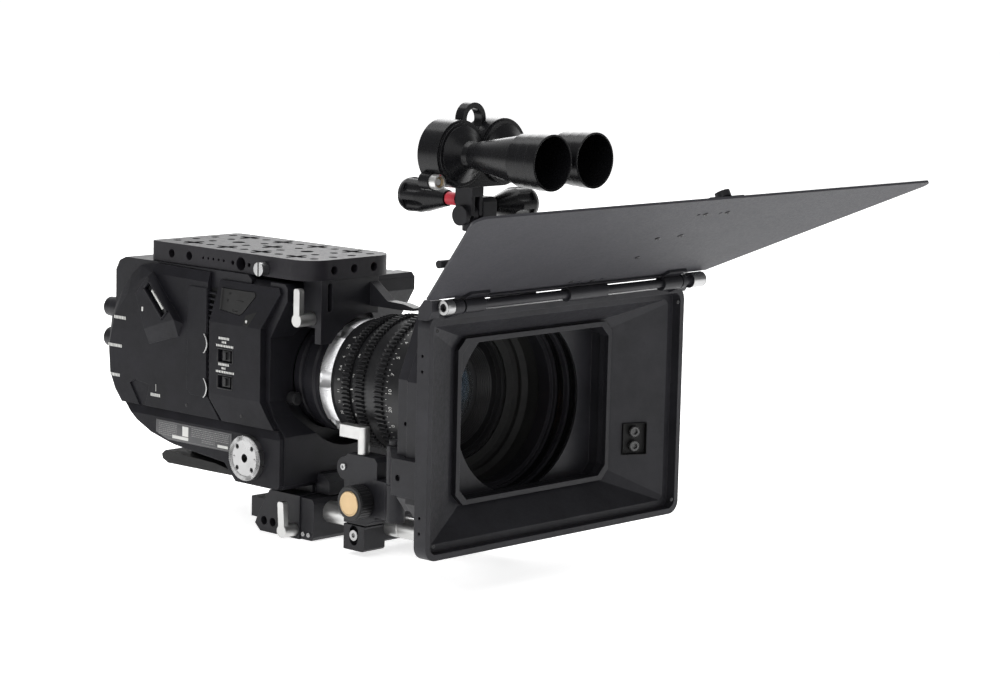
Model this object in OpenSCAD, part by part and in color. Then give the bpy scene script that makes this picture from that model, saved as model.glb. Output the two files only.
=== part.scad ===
// Cinema camera rig: camera body, lens, cheese plate, rod base, swing-away matte box and rangefinder.
// The origin is the tripod socket in the middle of the base, on the face the rig stands on.
// +Z is up and the lens looks along -Y.

/* [Camera body] */
// Height of the lens axis above the tripod face
axis_z = 112.5; // [110:0.5:115]
// Half width of the body casting, from the lens axis to either side
body_half_w = 62; // [61:0.5:64]
// Depth of the body behind its front face
body_depth = 160; // [158:0.5:162]
// Radius of the round opening behind the lens mount
mount_hole_r = 50; // [49:0.5:51]
// Thickness of the panels that are screwed to the sides
panel_t = 3.8; // [3:0.2:4.2]
// Wall of the body casting
shell_wall = 3; // [2.5:0.25:3.5]

/* [Lens] */
// Outside radius of the silver locking ring
ring_r = 42; // [41:0.5:43]
// Outside radius of the iris gear
iris_gear_r = 47.5; // [47:0.25:48]
// Outside radius of the zoom gear
zoom_gear_r = 49.5; // [49:0.25:50]
// Outside radius of the focus gear
focus_gear_r = 53.5; // [53:0.25:54]
// Number of teeth on each follow gear
gear_teeth = 96; // [80:1:110]
// Depth of the gear teeth
tooth_h = 1.9; // [1.5:0.1:2.1]
// Clearance between a lens ring and the barrel it turns on
ring_gap = 0.1; // [0.08:0.01:0.1]

/* [Top plate] */
// Length of the cheese plate
plate_l = 167; // [166:1:168]
// Width of the cheese plate
plate_w = 85; // [84:1:86]
// Thickness of the cheese plate
plate_t = 14.2; // [14:0.1:15]
// Distance between the plate's threaded holes
plate_pitch = 18; // [17:0.5:18]

/* [Base and rods] */
// Width of the rod base
base_w = 94; // [90:1:96]
// Height of the rod base
base_h = 31; // [30.5:0.25:31]
// Radius of a rod, the 15 mm standard
rod_r = 7.5; // [7.5]
// Distance between the two rods' axes, the 60 mm standard
rod_gauge = 60; // [60]
// Height of the rods' axes above the tripod face
rod_z = 20; // [19.8:0.1:20.2]
// Length of a rod
rod_l = 160; // [155:1:165]

/* [Matte box] */
// Width of the hood's front rim
hood_w = 250; // [244:1:254]
// Height of the hood's front rim
hood_h = 158.4; // [156:0.2:160]
// Distance of the hood's front rim ahead of the body's front face
hood_front = 216; // [215:0.5:217]
// Width of the clear opening behind the hood
gate_w = 144; // [140:1:146]
// Height of the clear opening behind the hood
gate_h = 103; // [100:1:104]

/* [Top flag] */
// Angle of the flag above the horizontal
flag_tilt = 27.9; // [20:0.1:35]
// Length of the flag from its hinge edge to its front edge
flag_l = 142; // [136:1:146]
// Width of the flag at its hinge edge
flag_rear_w = 273; // [268:1:276]
// Width of the flag at its front edge
flag_front_w = 454; // [440:1:454]
// Thickness of the flag sheet
flag_t = 1.6; // [1.2:0.1:2]

/* [Rangefinder] */
// Distance between the two horns' axes
horn_gap = 41.6; // [41:0.1:42.4]
// Radius of a horn's mouth
horn_r = 18.7; // [18:0.1:19]
// Length of a horn
horn_l = 81; // [76:1:84]
// Height of the horns' axes above the tripod face
horn_z = 276.5; // [275:0.5:278]

/* [Hidden] */
$fn = 48;
eps = 0.05;
black = [0.11, 0.11, 0.12];
charcoal = [0.17, 0.17, 0.18];
graphite = [0.26, 0.26, 0.28];
silver = [0.80, 0.80, 0.80];
brass = [0.85, 0.68, 0.42];
red = [0.75, 0.12, 0.14];
rubber = [0.07, 0.07, 0.07];
glass = [0.25, 0.30, 0.33];
board_green = [0.08, 0.30, 0.18];

// body
front_t = 20;
body_bottom = 36.5;
body_top = 184;
panel_x = -body_half_w - 0.2;
body_side = [[front_t, body_bottom], [front_t, 181], [24, body_top], [body_depth - 4, body_top],
    [body_depth + 3, 181], [body_depth + 7, 174], [body_depth + 7, 150], [body_depth + 9, 122],
    [body_depth + 7, 98], [157, 79], [140, 66], [122, 58], [101, 53], [40, 47], [32, body_bottom]];
rear_side = [[61.2, 78.2], [61.2, 182], [119, 183], [137, 180], [147, 172], [155.6, 162],
    [162.5, 151.5], [169, 139.5], [172.5, 117], [171, 98], [165, 86], [157, 78.2]];
panel_lean = atan(4 / 30);
door_z = 165;
door_x = panel_x - 5.4 + 4 * (door_z - 148) / 30;
door_side = [[46, -7.5], [46, 7.5], [13.5, 7.5], [12.5, 5], [24, -8], [27, -9.5]];
rosette_y = 16;
rosette_z = 56;
rosette_r = 15.9;
switch_y = 40.5;
switch_zs = [125, 106.5];
switch_half = [5.5, 3.6];
socket_x = -50;
socket_y = 180;
socket_zs = [143.5, 121];
fan_y = 62;
fan_z = 118;
release_angle = 198;
release_at_r = 45.6;
release_x = release_at_r * cos(release_angle);
release_z = axis_z + release_at_r * sin(release_angle);

// lens, as distances ahead of the body's front face
adapter_y = -27;
ring_y = -40.6;
iris_y = [-62.2, -55.8];
zoom_y = [-78.2, -70.8];
focus_y = [-119, -93.4];
focus_teeth_y = [-101, -93.6];
barrel_front = -121;

// top plate
plate_x0 = -60;
plate_x1 = plate_x0 + plate_w;
plate_y0 = -36;
plate_y1 = plate_y0 + plate_l;
plate_z0 = 184.2;
plate_z1 = plate_z0 + plate_t;
quarter_r = 3.175;
three_eighths_r = 4.76;

// base
base_y = [-16, 30];
rod_block_y = [-29.5, -16.2];
rod_back = 9;
rod_x = rod_gauge / 2;
groove_y = -103;
rod_end_r = 5;
lever_y = -11;

// matte box bracket
clamp_x = [-56, 44];
clamp_y = [-100, -70];
clamp_z = [4, 30.5];
upright_x = [-58, -43];
upright_y = [-103.5, -72];
upright_z = [31, 71];
pin_x = -58;
pin_y = -121.5;
pin_r = 3;
knuckle_r = 6.5;
knob_y = -90;
knob_z = 40;
knob_r = 12;
post_y = -85;
post_x = -53;

// matte box
hood_z0 = 28;
hood_zc = hood_z0 + hood_h / 2;
gate_zc = 109.5;
hood_back = -186;
stage_y = [-185.8, -144.5];
stage_top = 178;
stage_split_y = -156.5;
tray_ys = [-176.5, -165];
tray_t = 7;
tray_half_w = 76;
tray_z = [48.5, 174.6];
tunnel_r = 60;
flag_pivot_y = -225;
flag_pivot_z = 192;

// rangefinder
rf_x = 12.9;
rf_mast_x = 16;
rf_mast_y = -119.5;
tilt_z = 234;
housing_y = [-127.5, -109];
housing_r = 23;
connector_x = -27;
connector_z = 258.5;
knob_left_z = 244;
knob_right_z = 239;

// ---- outlines and solids used by several parts

// Rectangle with round corners, from its low corner to its high corner
module rrect(x0, x1, y0, y1, r) {
    translate([x0 + r, y0]) square([x1 - x0 - 2 * r, y1 - y0]);
    translate([x0, y0 + r]) square([x1 - x0, y1 - y0 - 2 * r]);
    for (x = [x0 + r, x1 - r])
        for (y = [y0 + r, y1 - r])
            translate([x, y]) circle(r);
}

// Rectangle with its corners cut off by cx across and cy up
module chamfered(x0, x1, y0, y1, cx, cy) {
    polygon([[x0 + cx, y0], [x1 - cx, y0], [x1, y0 + cy], [x1, y1 - cy],
        [x1 - cx, y1], [x0 + cx, y1], [x0, y1 - cy], [x0, y0 + cy]]);
}

// A (y, z) outline extruded from x0 to x1
module along_x(x0, x1) {
    rotate([90, 0, 90]) translate([0, 0, x0]) linear_extrude(x1 - x0) children();
}

// An (x, z) outline extruded from y0 to y1
module along_y(y0, y1) {
    rotate([90, 0, 0]) translate([0, 0, -y1]) linear_extrude(y1 - y0) children();
}

// An (x, y) outline extruded from z0 to z1
module along_z(z0, z1) {
    translate([0, 0, z0]) linear_extrude(z1 - z0) children();
}

module box(x0, x1, y0, y1, z0, z1) {
    translate([x0, y0, z0]) cube([x1 - x0, y1 - y0, z1 - z0]);
}

module rod_along_x(x0, x1, y, z, r) {
    translate([x0, y, z]) rotate([0, 90, 0]) cylinder(h = x1 - x0, r = r);
}

module rod_along_y(y0, y1, x, z, r) {
    translate([x, y1, z]) rotate([90, 0, 0]) cylinder(h = y1 - y0, r = r);
}

module rod_along_z(z0, z1, x, y, r) {
    translate([x, y, z0]) cylinder(h = z1 - z0, r = r);
}

// A profile of [radius, y] points turned about an axis along Y through (x, z)
module turned_y(x, z) {
    translate([x, 0, z]) rotate([-90, 0, 0]) rotate_extrude() children();
}

// A profile of [radius, x] points turned about an axis along X through (y, z)
module turned_x(y, z) {
    translate([0, y, z]) rotate([0, 90, 0]) rotate_extrude() children();
}

// Outline of a gear with trapezoid teeth
function gear_points(n, r, h) = [for (i = [0 : n - 1], k = [0 : 3])
    let (a = (i + [0.02, 0.30, 0.50, 0.78][k]) * 360 / n, q = (k == 0 || k == 3) ? r - h : r)
    [q * cos(a), q * sin(a)]];

// ---- camera body

module front_casting() {
    color(black) difference() {
        union() {
            along_y(0, front_t - 0.1)
                chamfered(-body_half_w, body_half_w, body_bottom, 181, 5, 5);
            // the jaws above and below the lens mount stand forward of the front face
            along_x(-body_half_w, body_half_w)
                polygon([[0, 97], [-5, 86], [-16, 74], [-16, body_bottom + 3], [-13, body_bottom],
                    [0, body_bottom]]);
            along_x(-body_half_w, body_half_w)
                polygon([[0, 142], [0, 181], [-14, 181], [-17, 178], [-17, 169]]);
        }
        rod_along_y(-20, -0.01, 0, axis_z, mount_hole_r);
        rod_along_y(-20, front_t + 1, 0, axis_z, 40);
        // guide of the release button's stem
        rod_along_y(-1, 7, release_x, release_z, 1.56);
    }
}

module body_shell() {
    color(black) difference() {
        along_x(-body_half_w, body_half_w - 4.2) polygon(body_side);
        intersection() {
            along_x(-body_half_w + shell_wall, body_half_w - 4.2 - shell_wall)
                offset(delta = -shell_wall) polygon(body_side);
            box(-80, 80, front_t + shell_wall, 200, 0, 200);
        }
        // window for the sensor, and air outlets over the fan
        box(-24, 24, front_t - 1, front_t + shell_wall + 1, axis_z - 18, axis_z + 18);
        for (i = [-2 : 2])
            box(50, 60, fan_y - 18, fan_y + 18, fan_z + i * 8 - 2.5, fan_z + i * 8 + 2.5);
        // holes for the two video sockets in the back
        for (z = socket_zs)
            rod_along_y(150, 175, socket_x, z, 8.05);
    }
}

module audio_panel() {
    color(charcoal) difference() {
        intersection() {
            along_x(panel_x - 8, panel_x)
                polygon([[-9, 78.2], [45, 78.2], [57.5, 93], [57.5, 148], [51, 178], [-10, 178], [-12, 174],
                    [4, 148], [4, 97], [-3, 86]]);
            // upright below, leaning inward above the switches
            along_y(-20, 60)
                polygon([[panel_x, 78], [panel_x - 3.8, 78], [panel_x - 5.4, 97], [panel_x - 5.4, 148],
                    [panel_x - 1.4, 178], [panel_x, 178]]);
        }
        for (z = switch_zs)
            box(-70, -64.2, switch_y - 7.2, switch_y + 7.2, z - 4.4, z + 4.4);
        // shallow seat for the port door
        translate([door_x, 0, door_z]) rotate([0, panel_lean, 0]) {
            along_x(-3, 0.75) offset(delta = 0.4) polygon(door_side);
            box(-3, 0.75, 45, 47.9, -7.9, 7.9);
        }
    }
}

module rear_cover() {
    color(black) difference() {
        union() {
            hull() {
                along_x(panel_x - 1.8, panel_x) polygon(rear_side);
                along_x(panel_x - panel_t, panel_x - panel_t + 0.1)
                    polygon([[61.2, 78.2], [61.2, 175], [122, 176], [136, 169], [149, 158],
                        [164, 140], [170, 117], [168.5, 99], [163, 88], [155, 78.2]]);
            }
            along_x(panel_x - panel_t, panel_x) polygon([[47.6, 78.2], [61.3, 78.2], [61.3, 94]]);
            // raised band beside the air outlet
            along_x(panel_x - panel_t - 1, panel_x - panel_t + 1)
                polygon([[61.4, 93], [61.4, 171], [79, 171], [82, 168], [82, 97], [78, 93]]);
            // the hump that carries the slanted socket
            hull() {
                along_x(-73, -72) polygon([[90, 146], [103, 142], [122, 136], [132, 160], [119, 174]]);
                along_x(-66.5, -65) polygon([[87.5, 143], [92, 133], [124, 124], [138, 161], [121, 177]]);
            }
        }
        // recess of the slanted socket
        translate([-73, 109.6, 158.1]) rotate([-45, 0, 0]) box(-1, 6, -3.9, 3.9, -14, 14);
        // corner cut away above the lower cover
        along_x(panel_x - panel_t - 1, panel_x - panel_t + 1.2)
            polygon([[124, 94], [140, 96], [146, 93], [135, 78], [129, 78]]);
    }
}

module lower_cover() {
    color(charcoal) difference() {
        intersection() {
            along_x(panel_x - 8, panel_x)
                polygon([[-15.5, 40], [-13, 37], [30, 37], [42, 49], [101, 55], [122, 60], [138, 67],
                    [153, 77.9], [-11, 77.9], [-15.5, 73]]);
            // its top edge is bevelled
            along_y(-20, 160)
                polygon([[panel_x, 30], [panel_x - panel_t, 30], [panel_x - panel_t, 72],
                    [panel_x - panel_t + 1.8, 77.9], [panel_x, 77.9]]);
        }
        rod_along_x(-70, -60, rosette_y, rosette_z, 4.2);
    }
}

module left_cover() {
    color(charcoal) difference() {
        along_x(body_half_w - 4, body_half_w)
            polygon([[front_t + 1, 42], [front_t + 1, 176], [30, 181], [140, 179], [152, 166],
                [155, 140], [160, 122], [156, 98], [148, 80], [100, 56], [44, 50], [34, 42]]);
        // recess of the control panel and air outlets
        box(body_half_w - 1.5, body_half_w + 1, 96, 142, 92, 160);
        for (i = [-2 : 2])
            box(50, 70, fan_y - 18, fan_y + 18, fan_z + i * 8 - 2.5, fan_z + i * 8 + 2.5);
    }
}

module foot_pad() {
    color(rubber) {
        along_x(-58, 52)
            polygon([[34, 38.5], [60, 38], [112, 37.5], [118, 40], [119, 43.5], [115, 46.5],
                [60, 44.5], [42, 41.5]]);
        // step that carries it on the sloping underside
        along_x(-48, 42)
            polygon([[62, 44], [62, 49.1], [98, 52.65], [98, 45]]);
    }
}

module rosette() {
    color(silver) difference() {
        rod_along_x(-70.5, panel_x - panel_t - 0.05, rosette_y, rosette_z, rosette_r);
        rod_along_x(-72, -60, rosette_y, rosette_z, 3);
        for (a = [45 : 90 : 315])
            rod_along_x(-72, -60, rosette_y + 10.6 * cos(a), rosette_z + 10.6 * sin(a), 1.7);
    }
}

module bnc_connectors() {
    color(graphite)
    for (z = socket_zs)
        difference() {
            union() {
                rod_along_y(155, socket_y, socket_x, z, 8);
                rod_along_y(socket_y - 1, socket_y + 7, socket_x, z, 7.2);
            }
            difference() {
                rod_along_y(socket_y - 2, socket_y + 8, socket_x, z, 4.2);
                rod_along_y(socket_y - 3, socket_y + 5, socket_x, z, 2.2);
            }
        }
}

module mount_adapter() {
    color(black) turned_y(0, axis_z)
        polygon([[31, -eps], [39, -eps], [39, -5], [37.8, -6], [37.8, -9], [40.6, -12],
            [40.6, -20], [39.4, -21.5], [39.4, -23.5], [41, -25], [41, adapter_y], [31, adapter_y]]);
}

module sensor_module() {
    color(board_green) box(-22, 22, 24, 26, axis_z - 17, axis_z + 17);
    color(glass) box(-14, 14, 21.5, 23.9, axis_z - 8, axis_z + 8);
}

module main_board() {
    color(board_green) box(-54, 34, 40, 128, 70, 72);
    color(black) box(-30, 0, 60, 90, 72.1, 80);
}

module fan_frame() {
    color(black) difference() {
        box(44, 53.5, fan_y - 24, fan_y + 24, fan_z - 24, fan_z + 24);
        rod_along_x(43, 55, fan_y, fan_z, 21.5);
    }
    color(black) difference() {
        union() {
            rod_along_x(52, 53.4, fan_y, fan_z, 7);
            box(52, 53.4, fan_y - 21.9, fan_y + 21.9, fan_z - 1.5, fan_z + 1.5);
        }
        rod_along_x(50, 54, fan_y, fan_z, 2.06);
    }
}

module battery_pack() {
    color(charcoal) box(-34, 22, 98, 146, 84, 128);
}

// ---- top plate

module plate_outline() {
    // the rear corners are tight and the front corners are wide
    rrect(plate_x0, plate_x1, plate_y0 + 30, plate_y1, 5);
    rrect(plate_x0, plate_x1, plate_y0, plate_y1 - 30, 18);
}

module cross_slot(x, y, s, w) {
    for (a = [0, 90])
        translate([x, y, 0]) rotate([0, 0, a]) {
            box(-s, s, -w, w, plate_z1 - 3, plate_z1 + 1);
            rod_along_z(plate_z1 - 3, plate_z1 + 1, s, 0, w);
            rod_along_z(plate_z1 - 3, plate_z1 + 1, -s, 0, w);
        }
}

module top_plate() {
    color(charcoal) difference() {
        along_z(plate_z0, plate_z1) plate_outline();
        // field of quarter-inch holes, with wider ones down the middle
        for (i = [0 : 3], j = [0 : 8])
            if (i % 3 == 0 ? j % 2 == 0 : j % 4 != 2 && j != 4)
                rod_along_z(plate_z0 - 1, plate_z1 + 1, plate_x0 + 15.5 + i * plate_pitch,
                    plate_y0 + 11.5 + j * plate_pitch, quarter_r);
        for (j = [2, 6])
            rod_along_z(plate_z0 - 1, plate_z1 + 1, (plate_x0 + plate_x1) / 2,
                plate_y0 + 11.5 + j * plate_pitch, three_eighths_r);
        // crossed slots between the outer holes, and one in the middle
        for (i = [0, 3], j = [1 : 2 : 7])
            cross_slot(plate_x0 + 15.5 + i * plate_pitch, plate_y0 + 11.5 + j * plate_pitch, 7.1, 2.4);
        cross_slot((plate_x0 + plate_x1) / 2, plate_y0 + 11.5 + 4 * plate_pitch, 7.1, 2.4);
        // holes in the near side: two plain, five pins, one threaded with its two locating holes
        for (y = [107.5, 88.5])
            rod_along_x(plate_x0 - 1, plate_x0 + 10, y, 191, quarter_r);
        for (i = [0 : 4])
            rod_along_x(plate_x0 - 1, plate_x0 + 4, 51.5 + i * 5.5, 191, 1.1);
        rod_along_x(plate_x0 - 1, plate_x0 + 10.5, 33.5, 190.5, three_eighths_r);
        for (s = [-1, 1])
            rod_along_x(plate_x0 - 1, plate_x0 + 4, 33.5 + s * 8.5, 190.5, 1.6);
        rod_along_x(plate_x0 - 1, plate_x0 + 11, 8.5, 189.5, 2.5);
        // holes in the front end
        for (x = [-36, -17, 2])
            rod_along_y(plate_y0 - 1, plate_y0 + 10, x, 191, quarter_r);
        // holes in the far side
        for (y = [98, 12.5])
            rod_along_x(plate_x1 - 10, plate_x1 + 1, y, 191, quarter_r);
    }
}

module plate_screw() {
    color(silver) difference() {
        union() {
            rod_along_x(plate_x0 - 6.5, plate_x0 - 0.3, 8.5, 189.5, 4.8);
            rod_along_x(plate_x0 - 1, plate_x0 + 9.5, 8.5, 189.5, 2.45);
        }
        box(plate_x0 - 7, plate_x0 - 4.5, 7.8, 9.2, 180, 200);
    }
}

module riser_bracket() {
    color(black) difference() {
        union() {
            // upright plate under the front of the cheese plate, its lower edge round the lens
            difference() {
                box(-47, 8, -35, -29, 140, plate_z0 - 0.1);
                rod_along_y(-36, -28, 0, axis_z, 46);
            }
            // ribs that tie it to the body's top jaw
            box(-47, -41, -35, -17.1, 151, plate_z0 - 0.1);
            box(2, 8, -29, -17.1, 166, plate_z0 - 0.1);
            box(-47, 8, -23, -17.1, 170, plate_z0 - 0.1);
            // arm that reaches forward over the lens
            along_x(0, 8) polygon([[-34, 180], [-36, 180], [-52, 168.5], [-68, 168], [-78, 166],
                [-78, 164.2], [-66, 163.6], [-34, 163.6]]);
        }
        // vertical slot
        box(-41, -36.5, -36, -28, 164, 180);
        rod_along_y(-36, -28, -38.75, 164, 2.25);
        rod_along_y(-36, -28, -38.75, 180, 2.25);
        rod_along_x(-48, -40, -26, 157, 2.56);
    }
}

// A clamp lever: a boss along X at (y, z) with an arm of length l at angle a from upright
module clamp_lever(x0, x1, y, z, l, a) {
    translate([0, y, z]) rotate([a, 0, 0]) {
        rod_along_x(x0, x1, 0, 0, 4.6);
        along_x(x0, x0 + 4.4) {
            translate([-2.9, 0]) square([5.8, l - 3]);
            translate([-2.9, 3]) rrect(0, 5.8, 0, l - 3, 2);
        }
    }
}

module riser_lever() {
    color(silver) {
        clamp_lever(-62, -47.3, -26, 157, 22, 0);
        rod_along_x(-48, -41.5, -26, 157, 2.5);
    }
}

// ---- base and rods

module base_block() {
    color(black) difference() {
        union() {
            along_x(-base_w / 2, base_w / 2)
                polygon([[base_y[0], 0], [24.5, 0], [base_y[1], 5], [26, 13.5], [15, base_h],
                    [base_y[0], base_h]]);
            // lug behind the slope
            box(-44, -24, 15, 37, 8.5, 23);
        }
        for (s = [-1, 1])
            rod_along_y(base_y[0] - 1, rod_back + 1, s * rod_x, rod_z, rod_r + 0.02);
        // tripod socket
        rod_along_z(-1, 12, 0, 0, three_eighths_r);
        // threaded holes in both sides
        for (s = [-1, 1])
            for (y = [16, 7])
                rod_along_x(s * base_w / 2 - 10, s * base_w / 2 + 10, y - (s - 1) * 2.25, 8, quarter_r);
        rod_along_x(-base_w / 2 - 1, -base_w / 2 + 10, lever_y, 6.5, 3.06);
    }
}

module rod_block() {
    color(charcoal) difference() {
        along_x(-base_w / 2 + 1, base_w / 2 - 1)
            polygon([[rod_block_y[0], 3], [rod_block_y[0] + 2, 0.5], [rod_block_y[1], 0.5],
                [rod_block_y[1], 30], [rod_block_y[0] + 2, 30], [rod_block_y[0], 27]]);
        for (s = [-1, 1])
            rod_along_y(rod_block_y[0] - 1, rod_block_y[1] + 1, s * rod_x, rod_z, rod_r + 0.02);
    }
}

module riser_plate() {
    color(black) {
        box(-33, 33, -14, 28, base_h + 0.05, body_bottom - 0.05);
        // wedge that locks the camera's foot from the front
        along_x(-30, 30)
            polygon([[-13, base_h + 0.05], [-28, base_h + 0.05], [-28, 40], [-22, 45], [-16.1, 45],
                [-16.1, 39.45], [-13, 36.4]]);
    }
}

module rods() {
    // each rod has a marking groove ahead of the clamp and a threaded end for an extension
    color(silver) for (s = [-1, 1])
        turned_y(s * rod_x, rod_z)
            polygon([[0, rod_back], [rod_r, rod_back], [rod_r, groove_y + 1], [rod_r - 0.4, groove_y + 1],
                [rod_r - 0.4, groove_y], [rod_r, groove_y], [rod_r, rod_back - rod_l],
                [rod_end_r, rod_back - rod_l], [rod_end_r, rod_back - rod_l + 15], [0, rod_back - rod_l + 15]]);
}

module base_screws() {
    color(silver) for (y = [-25, -19.5])
        difference() {
            rod_along_x(-base_w / 2, -base_w / 2 + 0.98, y, 4.4, 1.6);
            rod_along_x(-base_w / 2 - 1, -base_w / 2 + 0.5, y, 4.4, 0.8);
        }
}

module base_lever() {
    color(silver) {
        clamp_lever(-59.5, -base_w / 2 - 0.3, lever_y, 6.5, 21, -4);
        rod_along_x(-base_w / 2 - 1, -base_w / 2 + 9, lever_y, 6.5, 3);
    }
}

// ---- controls on the body

module port_door() {
    color(black) translate([door_x, 0, door_z]) rotate([0, panel_lean, 0]) {
        difference() {
            along_x(-0.5, 0.7) polygon(door_side);
            // finger notch
            box(-1, -0.2, 28, 34, -7.5, -6);
        }
        rod_along_z(-7.5, 7.5, -0.5, 46.6, 0.9);
    }
}

// One three-position input switch in its window
module input_switch(z) {
    box(-66.4, -64.4, switch_y - switch_half[0] + 1.5, switch_y + switch_half[0] - 1.5,
        z - switch_half[1], z + switch_half[1]);
    box(-68.2, -66.3, switch_y - 1.2, switch_y + 1.2, z - 2.6, z + 2.6);
}

module input_switch_1() {
    color(rubber) input_switch(switch_zs[0]);
}

module input_switch_2() {
    color(rubber) input_switch(switch_zs[1]);
}

module release_button() {
    color(black) {
        intersection() {
            rod_along_y(-9, -2.2, release_x, release_z, 4.6);
            translate([release_x, 2, release_z]) sphere(r = 11.5);
        }
        rod_along_y(-2.3, 5, release_x, release_z, 1.5);
    }
}

module fan_rotor() {
    color(graphite) {
        rod_along_x(45, 51.6, fan_y, fan_z, 8);
        rod_along_x(51, 53.8, fan_y, fan_z, 2);
        for (a = [0 : 40 : 320])
            translate([0, fan_y, fan_z]) rotate([a, 0, 0])
                translate([48.2, 0, 0]) rotate([0, 28, 0]) box(-0.7, 0.7, 5, 19.5, -4.2, 4.2);
    }
}

// ---- lens

module locking_ring() {
    notches = 7;
    color(silver) difference() {
        union() {
            rod_along_y(ring_y, adapter_y - 0.3, 0, axis_z, ring_r - 1.2);
            rod_along_y(ring_y + 0.8, adapter_y - 1.1, 0, axis_z, ring_r);
        }
        rod_along_y(ring_y - 1, adapter_y + 1, 0, axis_z, 36.5 + ring_gap);
        // finger notches round the edge
        for (i = [0 : notches - 1])
            translate([0, 0, axis_z]) rotate([0, -124.6 - i * 360 / notches, 0])
                rod_along_y(ring_y - 1, adapter_y + 1, ring_r + 4.6, 0, 7.5);
    }
}

module lens_barrel() {
    color(black) turned_y(0, axis_z)
        polygon([[30, -20], [30.8, -20], [30.8, adapter_y - 0.1], [36.5, adapter_y - 0.1],
            [36.5, ring_y - 0.3], [42.5, ring_y - 0.3], [43.5, -45], [43.5, iris_y[1] + 0.3],
            [42, iris_y[1] + 0.3], [42, iris_y[0] - 0.3], [44.5, iris_y[0] - 0.3], [46, zoom_y[1] + 0.3],
            [44, zoom_y[1] + 0.3], [44, zoom_y[0] - 0.3], [47.5, zoom_y[0] - 0.3], [49, focus_y[1] + 0.3],
            [47, focus_y[1] + 0.3], [47, focus_y[0] - 0.3], [50.5, focus_y[0] - 0.3],
            [50.5, barrel_front], [46, barrel_front], [42, -114], [38, -108], [30, -100]]);
}

module lens_glass() {
    color(glass) {
        // front element, domed towards the subject
        intersection() {
            rod_along_y(-118, -108.1, 0, axis_z, 37.8);
            translate([0, -45, axis_z]) sphere(r = 71);
        }
        rod_along_y(-80, -72, 0, axis_z, 29.9);
        rod_along_y(-34, -28, 0, axis_z, 29.9);
    }
}

// A turning ring with a toothed band, between y[0] and y[1]
module toothed_ring(y, r_in, r_gear) {
    difference() {
        along_y(y[0], y[1]) polygon(gear_points(gear_teeth, r_gear, tooth_h));
        rod_along_y(y[0] - 1, y[1] + 1, 0, 0, r_in);
    }
}

module iris_ring() {
    color(black) translate([0, 0, axis_z]) toothed_ring(iris_y, 42 + ring_gap, iris_gear_r);
}

module zoom_ring() {
    color(black) translate([0, 0, axis_z]) toothed_ring(zoom_y, 44 + ring_gap, zoom_gear_r);
}

module focus_ring() {
    color(black) {
        translate([0, 0, axis_z]) toothed_ring(focus_teeth_y, 47 + ring_gap, focus_gear_r);
        turned_y(0, axis_z)
            polygon([[47 + ring_gap, focus_teeth_y[0] + eps], [51.4, focus_teeth_y[0] + eps], [51.4, -104],
                [50.6, -118], [49.8, focus_y[0]], [47 + ring_gap, focus_y[0]]]);
    }
}

// ---- matte box bracket

module rod_clamp() {
    color(charcoal) difference() {
        union() {
            // the lug round the near screw reaches lower than the bar between the rods
            for (part = [[clamp_x[0], -36, clamp_z[0]], [-36.1, clamp_x[1], 9]])
                along_x(part[0], part[1])
                    polygon([[clamp_y[1], part[2]], [-88.5, part[2]], [-90, part[2] + 1.5], [-90, 20],
                        [-93, 24.5], [clamp_y[0], 28], [clamp_y[0], clamp_z[1]], [clamp_y[1], clamp_z[1]]]);
            // guide post for the height slide
            rod_along_z(clamp_z[1] - 1, 56, -50.5, -96, 3);
        }
        for (s = [-1, 1])
            rod_along_y(clamp_y[0] - 1, clamp_y[1] + 1, s * rod_x, rod_z, rod_r + 0.05);
        // clamping slit and the oval recess of its screw
        box(clamp_x[0] - 1, -rod_x, clamp_y[0] - 1, clamp_y[1] + 1, 21.6, 22.6);
        for (z = [11.5, 17.5])
            rod_along_x(clamp_x[0] - 1, clamp_x[0] + 4, -80, z, 4);
        box(clamp_x[0] - 1, clamp_x[0] + 4, -84, -76, 11.5, 17.5);
        rod_along_x(clamp_x[0] - 1, -40, -80, 14.5, 3.06);
    }
}

module clamp_screw() {
    color(silver) difference() {
        union() {
            rod_along_x(clamp_x[0] - 0.5, clamp_x[0] + 3.5, -80, 14.5, 3.7);
            rod_along_x(clamp_x[0] + 3, -41, -80, 14.5, 3);
        }
        rod_along_x(clamp_x[0] - 1, clamp_x[0] + 1.5, -80, 14.5, 1.8, $fn = 6);
    }
}

module upright_block() {
    color(charcoal) difference() {
        union() {
            along_x(upright_x[0], upright_x[1])
                chamfered(upright_y[0], upright_y[1], upright_z[0], upright_z[1], 3, 3);
            // round ear at the back
            rod_along_x(upright_x[0], upright_x[0] + 9, -72.5, 60.5, 8);
            // lower knuckle of the swing hinge and its web
            rod_along_z(upright_z[0], 56.5, pin_x, pin_y, knuckle_r);
            along_z(upright_z[0], 56.5)
                polygon([[pin_x - 3, pin_y], [pin_x + 5, pin_y - 4], [upright_x[1], upright_y[0] - 1],
                    [upright_x[1], upright_y[0] + 4], [upright_x[0], upright_y[0] + 4]]);
        }
        rod_along_z(upright_z[0] - 1, 58, pin_x, pin_y, pin_r + 0.02);
        rod_along_z(upright_z[0] - 1, 66, -50.5, -96, 3.06);
        rod_along_x(upright_x[0] - 1, -55, knob_y, knob_z, 2.56);
        rod_along_z(64, upright_z[1] + 1, post_x, post_y, 2.56);
    }
}

module hinge_pin() {
    color(graphite) {
        rod_along_z(upright_z[0], 86.5, pin_x, pin_y, pin_r);
        rod_along_z(83.4, 86.5, pin_x, pin_y, 5);
    }
}

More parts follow.
